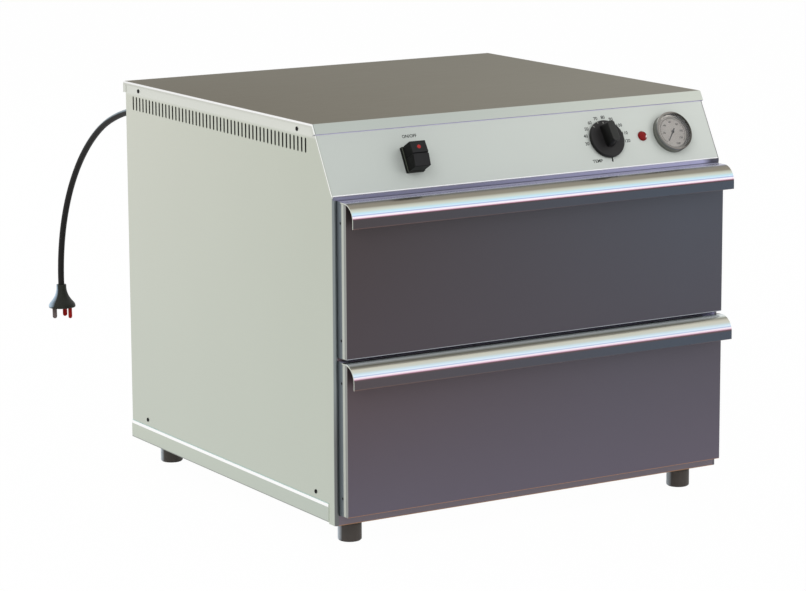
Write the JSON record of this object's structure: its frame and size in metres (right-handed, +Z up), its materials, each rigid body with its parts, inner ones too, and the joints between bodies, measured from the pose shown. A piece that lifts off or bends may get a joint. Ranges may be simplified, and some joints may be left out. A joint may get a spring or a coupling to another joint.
{
  "type": "countertop warming drawer",
  "caption": "Stainless steel countertop warming cabinet with stacked pull-out drawers, full-width handles and a sloping control panel.",
  "frame": {"origin": "on the surface the cabinet stands on, under the middle of the whole cabinet without its mains lead", "axes": "+X to the right seen from the front, -Y out of the drawer fronts, +Z up"},
  "size_m": [0.624, 0.9679, 0.5565],
  "materials": {
    "brushed_lid": "fine brushed stainless steel",
    "brushed_sheet": "fine brushed stainless steel",
    "brushed_panel": "fine brushed stainless steel",
    "bright_sheet": "satin stainless steel",
    "dull_sheet": "satin stainless steel",
    "dark_front": "fine brushed stainless steel",
    "pan_sheet": "satin stainless steel",
    "polished_handle": "polished stainless steel",
    "liner_sheet": "plain stainless steel sheet",
    "mineral_fibre": "matted mineral fibre",
    "element_sheath": "oxidised heating element sheath",
    "grey_plastic": "moulded heat-resistant plastic",
    "copper_bulb": "drawn copper",
    "black_plastic": "fine matt moulding",
    "black_rubber": "smooth rubber",
    "grey_rubber": "matt rubber",
    "zinc_slide": "bright zinc plating",
    "black_screw": "black oxide",
    "bright_screw": "plain steel",
    "red_lens": "clear red moulding",
    "red_dot": "clear red moulding",
    "polished_bezel": "polished steel",
    "pale_dial": "matt pale paint",
    "clear_glass": "clear flat glass",
    "pin_metal": "plated brass",
    "black_knob": "satin moulding",
    "spindle_steel": "turned steel",
    "black_rocker": "satin black moulding",
    "needle_paint": "matt black paint"
  },
  "bodies": {
    "cabinet": {"top_cover": "brushed_lid", "left_side_panel": "brushed_sheet", "right_side_panel": "brushed_sheet", "back_panel": "brushed_sheet", "base_tray": "bright_sheet", "control_panel": "brushed_panel", "header_rail": "dull_sheet", "middle_rail": "dull_sheet", "bottom_rail": "dull_sheet", "liner_left": "liner_sheet", "liner_right": "liner_sheet", "liner_roof": "liner_sheet", "liner_floor": "liner_sheet", "liner_back": "liner_sheet", "liner_shelf": "liner_sheet", "side_insulation": "mineral_fibre", "back_insulation": "mineral_fibre", "level_insulation": "mineral_fibre", "thermostat_body": "grey_plastic", "thermostat_bulb": "copper_bulb", "terminal_block": "grey_plastic", "cable_gland": "black_plastic", "strain_relief": "black_rubber", "feet": "grey_rubber", "side_screws": "black_screw", "back_screws": "bright_screw", "switch_housing": "black_plastic", "pilot_lens": "red_lens", "pilot_holder": "black_plastic", "gauge_case": "polished_bezel", "gauge_dial": "pale_dial", "gauge_glass": "clear_glass", "power_cord": "black_rubber", "plug_body": "black_plastic", "plug_pins": "pin_metal", "upper_heater": "element_sheath", "lower_heater": "element_sheath", "upper_cabinet_rails": "zinc_slide", "lower_cabinet_rails": "zinc_slide"},
    "upper_drawer": {"upper_front_skin": "dark_front", "upper_front_pan": "pan_sheet", "upper_handle": "polished_handle", "upper_front_insulation": "mineral_fibre", "upper_drawer_box": "liner_sheet", "upper_drawer_rails": "zinc_slide", "upper_front_screws": "black_screw"},
    "lower_drawer": {"lower_front_skin": "dark_front", "lower_front_pan": "pan_sheet", "lower_handle": "polished_handle", "lower_front_insulation": "mineral_fibre", "lower_drawer_box": "liner_sheet", "lower_drawer_rails": "zinc_slide", "lower_front_screws": "black_screw"},
    "upper_slide_members": {"upper_middle_rails": "zinc_slide"},
    "lower_slide_members": {"lower_middle_rails": "zinc_slide"},
    "knob": {"thermostat_knob": "black_knob", "thermostat_spindle": "spindle_steel"},
    "rocker": {"switch_rocker": "black_rocker", "rocker_lens": "red_dot"},
    "needle": {"gauge_needle": "needle_paint"}
  },
  "joints": [
    {"name": "upper_drawer_slide", "type": "slide", "parent": "cabinet", "child": "upper_drawer", "axis": [0, -1, 0], "range_m": [0, 0.45]},
    {"name": "lower_drawer_slide", "type": "slide", "parent": "cabinet", "child": "lower_drawer", "axis": [0, -1, 0], "range_m": [0, 0.45]},
    {"name": "upper_member_slide", "type": "slide", "parent": "cabinet", "child": "upper_slide_members", "axis": [0, -1, 0], "range_m": [0, 0.225]},
    {"name": "lower_member_slide", "type": "slide", "parent": "cabinet", "child": "lower_slide_members", "axis": [0, -1, 0], "range_m": [0, 0.225]},
    {"name": "thermostat_turn", "type": "hinge", "parent": "cabinet", "child": "knob", "pos_m": [0.1332, -0.25291, 0.50458], "axis": [0, -0.8746, 0.4848], "range_deg": [-90, 186]},
    {"name": "switch_rock", "type": "hinge", "parent": "cabinet", "child": "rocker", "pos_m": [-0.1773, -0.2633, 0.50749], "axis": [1, 0, 0], "range_deg": [-7.5, 0]},
    {"name": "gauge_needle_turn", "type": "hinge", "parent": "cabinet", "child": "needle", "pos_m": [0.2414, -0.25291, 0.50458], "axis": [0, -0.8746, 0.4848], "range_deg": [-270, 0]}
  ],
  "couplings": [
    {"joint": "upper_member_slide", "follows": "upper_drawer_slide", "ratio": 0.5},
    {"joint": "lower_member_slide", "follows": "lower_drawer_slide", "ratio": 0.5}
  ]
}
